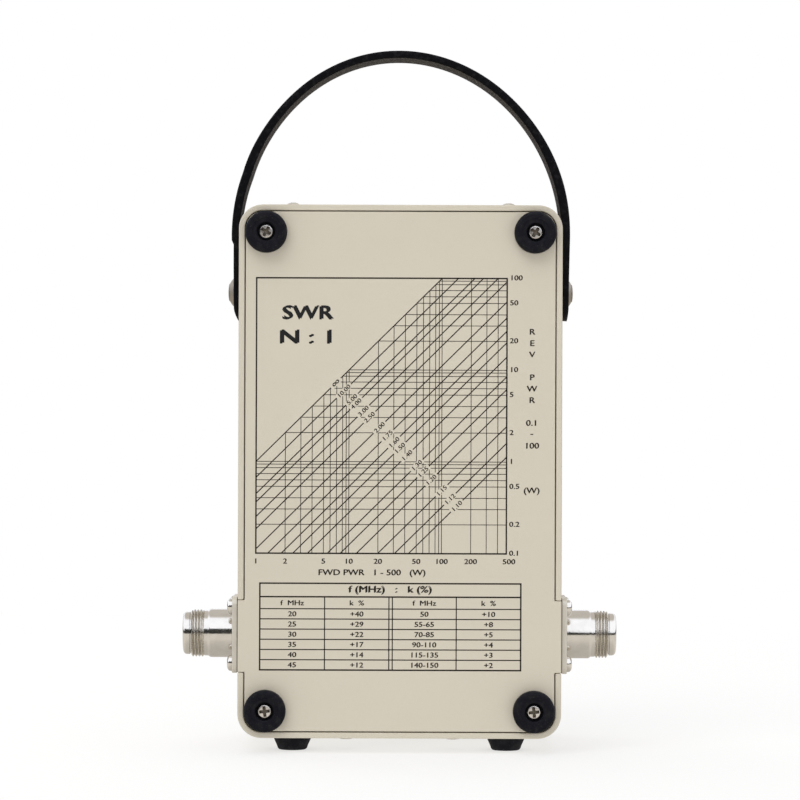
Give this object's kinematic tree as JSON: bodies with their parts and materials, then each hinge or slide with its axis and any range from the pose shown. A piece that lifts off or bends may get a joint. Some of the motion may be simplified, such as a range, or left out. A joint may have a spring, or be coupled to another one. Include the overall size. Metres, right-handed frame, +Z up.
{
  "type": "rf wattmeter",
  "caption": "Portable in-line RF wattmeter in a beige steel case with a panel meter, range knob, forward/reverse switch, coaxial jacks on its sides and a strap handle.",
  "frame": {"origin": "on the surface that the four bottom feet stand on, under the middle of the instrument", "axes": "+Z up, -Y out of the meter's front, +Y out of the rear cover, +X towards the viewer's right at the front"},
  "size_m": [0.1458, 0.0998, 0.2372],
  "materials": {
    "case_paint": "satin beige enamel",
    "foot_rubber": "matte black rubber",
    "strap_vinyl": "grained black vinyl",
    "nickel": "bright nickel plate",
    "zinc_steel": "zinc-plated steel",
    "block_aluminium": "milled",
    "brass_parts": "turned brass",
    "ptfe": "white fluoroplastic",
    "nylon": "black nylon",
    "circuit_board": "lacquered glass-epoxy",
    "components": "lacquered",
    "meter_black": "moulded black plastic",
    "clear_cover": "clear acrylic",
    "scale_white": "matte off-white enamel",
    "magnet_alloy": "ground",
    "coil_copper": "enamelled copper wire",
    "pointer_black": "matte black",
    "spring_bronze": "phosphor bronze",
    "switch_phenolic": "brown phenolic",
    "toggle_red": "red moulded plastic",
    "wire_sleeve": "hook-up wire insulation"
  },
  "bodies": {
    "instrument": {"case_shell": "case_paint", "front_panel": "case_paint", "rear_cover": "case_paint", "rear_feet": "foot_rubber", "bottom_feet": "foot_rubber", "cover_screws": "nickel", "rear_foot_screws": "nickel", "bottom_foot_screws": "nickel", "strap_cup_washers": "nickel", "strap_screws": "nickel", "line_post_screws": "nickel", "left_jack": "nickel", "right_jack": "nickel", "jack_screws": "nickel", "scale_screws": "nickel", "switch_nut": "nickel", "toggle_nut": "nickel", "press_nuts": "zinc_steel", "line_posts": "zinc_steel", "coupler_shield": "zinc_steel", "meter_yoke": "zinc_steel", "meter_stud_nuts": "zinc_steel", "terminal_nuts": "zinc_steel", "line_block": "block_aluminium", "line_conductor": "brass_parts", "jack_contacts": "brass_parts", "feedthroughs": "brass_parts", "front_bridge": "brass_parts", "jewel_screws": "brass_parts", "meter_studs": "brass_parts", "terminal_studs": "brass_parts", "jack_insulators": "ptfe", "strap_spacers": "nylon", "coupler_board": "circuit_board", "main_board": "circuit_board", "coupler_parts": "components", "board_parts": "components", "meter_housing": "meter_black", "meter_mask": "meter_black", "meter_cover": "clear_cover", "meter_scale": "scale_white", "meter_magnet": "magnet_alloy", "meter_core": "magnet_alloy", "switch_body": "switch_phenolic", "toggle_body": "toggle_red", "wires": "wire_sleeve"},
    "handle": {"strap_handle": "strap_vinyl"},
    "range_control": {"range_knob": "meter_black", "knob_set_screw": "zinc_steel", "switch_shaft": "zinc_steel", "switch_rotor": "switch_phenolic"},
    "forward_reverse_lever": {"toggle_lever": "nickel"},
    "meter_movement": {"moving_coil": "coil_copper", "pivot_staff": "zinc_steel", "pointer": "pointer_black", "hairspring": "spring_bronze"},
    "zero_screw": {"zero_adjuster": "nickel"},
    "zero_arm": {"zero_lever": "brass_parts"}
  },
  "joints": [
    {"name": "handle_swing", "type": "hinge", "parent": "instrument", "child": "handle", "pos_m": [0, 0.0069, 0.1547], "axis": [1, 0, 0], "range_deg": [-20, 20]},
    {"name": "range_turn", "type": "hinge", "parent": "instrument", "child": "range_control", "pos_m": [-0.02, -0.0311, 0.056], "axis": [0, 1, 0], "range_deg": [0, 120]},
    {"name": "lever_tip", "type": "hinge", "parent": "instrument", "child": "forward_reverse_lever", "pos_m": [0.03, -0.0336, 0.056], "axis": [1, 0, 0], "range_deg": [0, 24]},
    {"name": "pointer_swing", "type": "hinge", "parent": "instrument", "child": "meter_movement", "pos_m": [0, -0.0311, 0.12], "axis": [0, 1, 0], "range_deg": [0, 90], "stiffness_Nm_per_rad": 0.00002, "deforming": ["hairspring"]},
    {"name": "zero_turn", "type": "hinge", "parent": "instrument", "child": "zero_screw", "pos_m": [0, -0.0311, 0.106], "axis": [0, -1, 0], "range_deg": [-45, 45]},
    {"name": "zero_arm_swing", "type": "hinge", "parent": "instrument", "child": "zero_arm", "pos_m": [0, -0.0311, 0.12], "axis": [0, -1, 0], "range_deg": [-3.4, 3.4]}
  ],
  "couplings": [
    {"joint": "zero_arm_swing", "follows": "zero_turn", "ratio": 0.0727}
  ]
}
